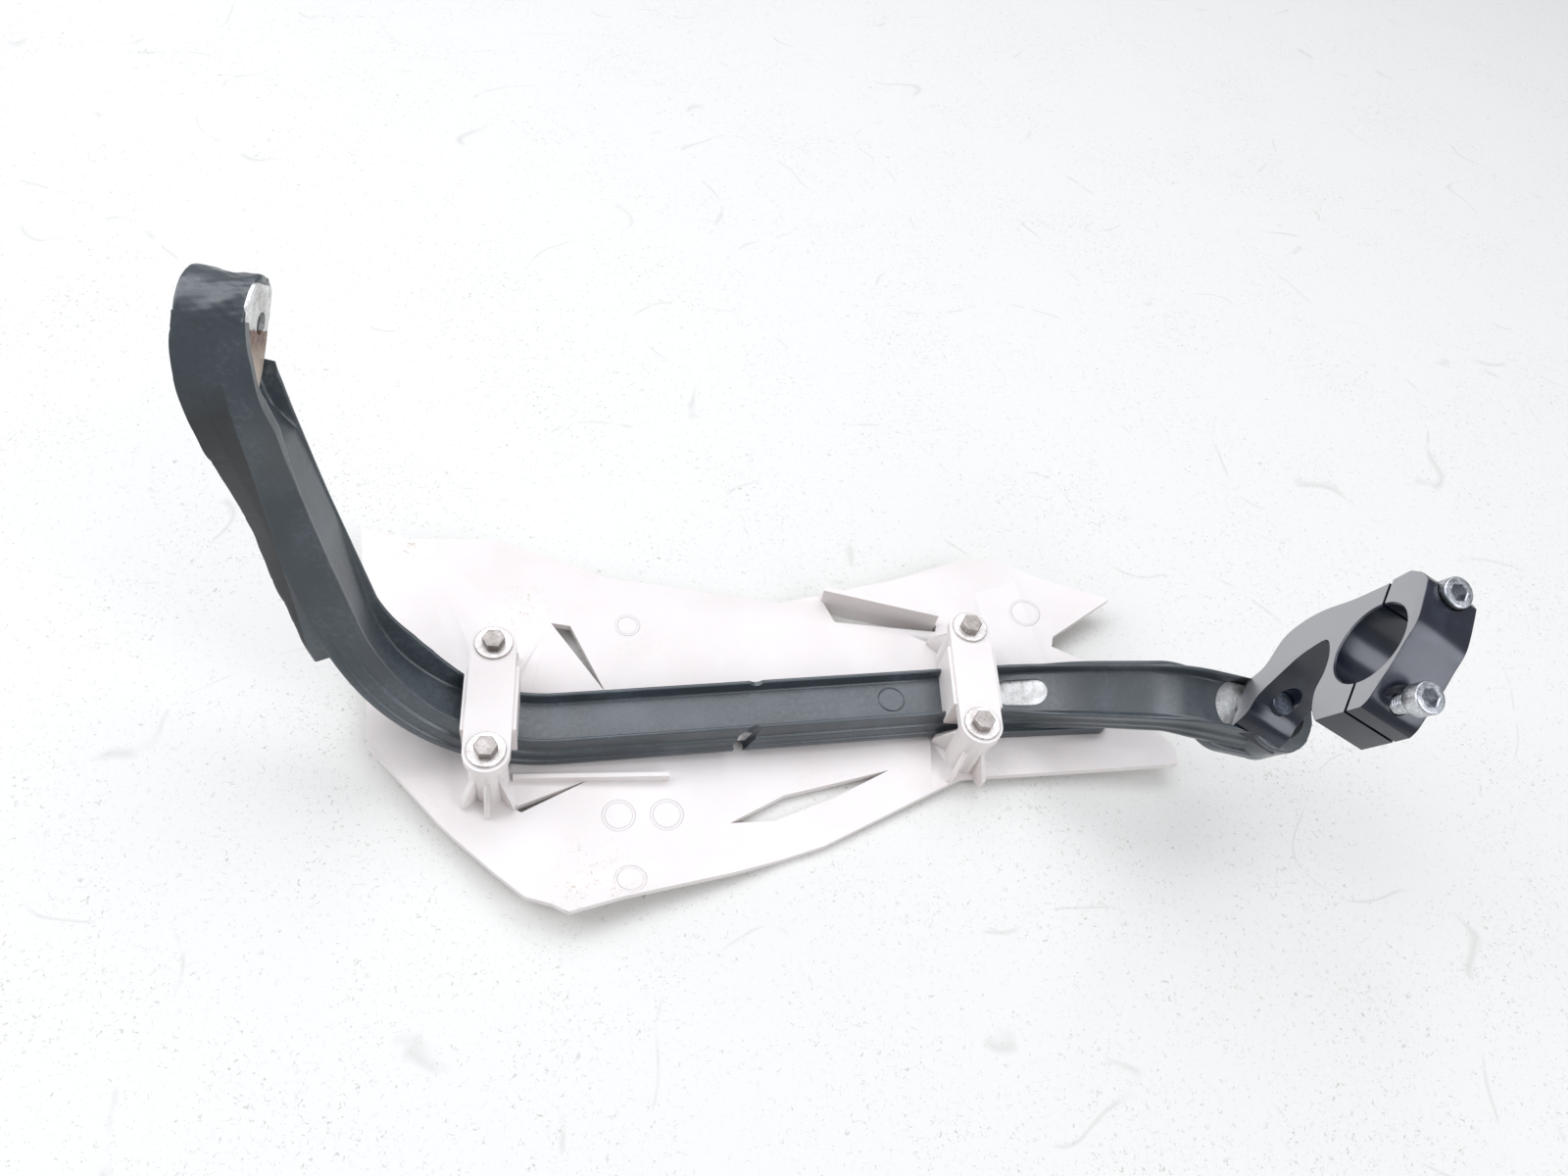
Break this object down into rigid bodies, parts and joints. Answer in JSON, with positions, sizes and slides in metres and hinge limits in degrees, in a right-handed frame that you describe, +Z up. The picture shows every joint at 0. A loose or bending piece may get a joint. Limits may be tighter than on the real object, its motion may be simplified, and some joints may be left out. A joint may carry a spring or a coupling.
{
  "type": "motorcycle hand guard",
  "caption": "Wrap-around hand guard: a flat aluminium bar in a black plastic cover, a white shield on two bridges, and a handlebar clamp.",
  "frame": {"origin": "on the bench under the middle of the guard's box", "axes": "+Z up from the bench towards the rider's side, +X from the bar end to the handlebar clamp, +Y towards the top of the shield"},
  "size_m": [0.3747, 0.1744, 0.1621],
  "materials": {
    "bare_aluminium": "bare, scuffed, stained near the end",
    "black_plastic": "moulded, satin, scraped at both ends",
    "white_plastic": "moulded, satin, faint pinkish edges",
    "bridge_plastic": "moulded, satin",
    "bolt_steel": "dull",
    "washer_steel": "dull",
    "insert_brass": "plain",
    "black_anodised": "black anodised",
    "screw_steel": "bright zinc"
  },
  "bodies": {
    "root": {"bar_core": "bare_aluminium", "bar_cover": "black_plastic", "shield": "white_plastic", "bridge_left": "bridge_plastic", "bridge_right": "bridge_plastic", "bolt_left_top": "bolt_steel", "bolt_left_low": "bolt_steel", "bolt_right_top": "bolt_steel", "bolt_right_low": "bolt_steel", "washer_left_top": "washer_steel", "washer_left_low": "washer_steel", "washer_right_top": "washer_steel", "washer_right_low": "washer_steel", "insert_left_top": "insert_brass", "insert_left_low": "insert_brass", "insert_right_top": "insert_brass", "insert_right_low": "insert_brass", "clamp_body": "black_anodised", "clamp_cap": "black_anodised", "cap_screw_top": "screw_steel", "cap_screw_low": "screw_steel", "pivot_bolt": "screw_steel", "pivot_washer": "washer_steel"}
  },
  "joints": []
}
